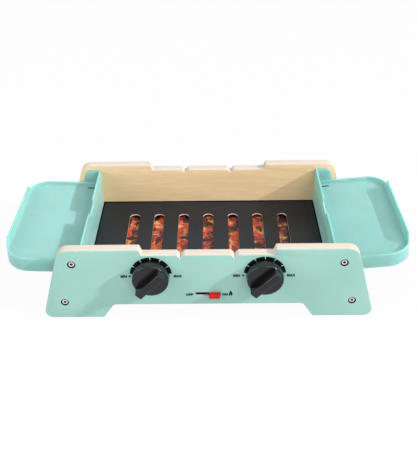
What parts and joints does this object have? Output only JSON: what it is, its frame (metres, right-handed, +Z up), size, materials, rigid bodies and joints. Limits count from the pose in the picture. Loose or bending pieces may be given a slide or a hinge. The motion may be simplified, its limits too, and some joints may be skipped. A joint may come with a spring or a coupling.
{
  "type": "toy griddle",
  "caption": "Toy griddle with shaped wooden panels, a slotted plate over a lit ember sheet, fold-up side trays, turning knobs and a slide switch.",
  "frame": {"origin": "middle of the bounding box at the table, under the cooking surface", "axes": "+X to the right seen from the front, +Y to the back, +Z up; the knobs face -Y"},
  "size_m": [0.461, 0.2258, 0.0935],
  "materials": {
    "panel_paint": "turquoise paint on plywood, edges and inner face bare",
    "mint_plastic": "satin pale mint moulding",
    "plate_board": "dark grey coated fibreboard with pale cut edges",
    "ember_print": "thin translucent sheet printed with glowing embers",
    "tub_plastic": "dark moulding",
    "screw_steel": "plated steel",
    "board_green": "circuit board lacquer",
    "lamp_resin": "clear orange resin",
    "cell_case": "cell jacket",
    "lead_sheath": "insulated wire",
    "bush_plastic": "natural white moulding",
    "cap_plastic": "red moulding",
    "knob_plastic": "satin black moulding",
    "bolt_brass": "dull brass"
  },
  "bodies": {
    "frame": {"front_panel": "panel_paint", "back_panel": "panel_paint", "left_side_frame": "mint_plastic", "right_side_frame": "mint_plastic", "griddle_plate": "plate_board", "ember_sheet": "ember_print", "light_tub": "tub_plastic", "tub_screws": "screw_steel", "plate_screws": "screw_steel", "led_board": "board_green", "leds": "lamp_resin", "led_board_screws": "screw_steel", "battery_door": "tub_plastic", "battery_door_screw": "screw_steel", "battery_cells": "cell_case", "battery_contacts": "screw_steel", "battery_leads": "lead_sheath", "switch_leads": "lead_sheath", "switch_body": "bush_plastic", "switch_screws": "screw_steel", "left_click_bush": "bush_plastic", "right_click_bush": "bush_plastic", "front_bolts": "bolt_brass", "back_bolts": "bolt_brass", "thread_inserts": "bolt_brass"},
    "left_tray_body": {"left_tray": "mint_plastic"},
    "right_tray_body": {"right_tray": "mint_plastic"},
    "left_knob_body": {"left_knob": "knob_plastic", "left_knob_washer": "screw_steel", "left_knob_screw": "screw_steel"},
    "right_knob_body": {"right_knob": "knob_plastic", "right_knob_washer": "screw_steel", "right_knob_screw": "screw_steel"},
    "switch_slider": {"switch_cap": "cap_plastic"}
  },
  "joints": [
    {"name": "left_tray_fold", "type": "hinge", "parent": "frame", "child": "left_tray_body", "pos_m": [-0.1542, 0.0119, 0.0615], "axis": [0, 1, 0], "range_deg": [0, 87]},
    {"name": "right_tray_fold", "type": "hinge", "parent": "frame", "child": "right_tray_body", "pos_m": [0.1542, 0.0119, 0.0615], "axis": [0, -1, 0], "range_deg": [-3, 84]},
    {"name": "left_knob_turn", "type": "hinge", "parent": "frame", "child": "left_knob_body", "pos_m": [-0.0628, -0.0891, 0.061], "axis": [0, -1, 0], "range_deg": [-45, 135]},
    {"name": "right_knob_turn", "type": "hinge", "parent": "frame", "child": "right_knob_body", "pos_m": [0.0628, -0.0891, 0.061], "axis": [0, -1, 0], "range_deg": [-45, 135]},
    {"name": "switch_slide", "type": "slide", "parent": "frame", "child": "switch_slider", "axis": [1, 0, 0], "range_m": [-0.0144, 0]}
  ]
}
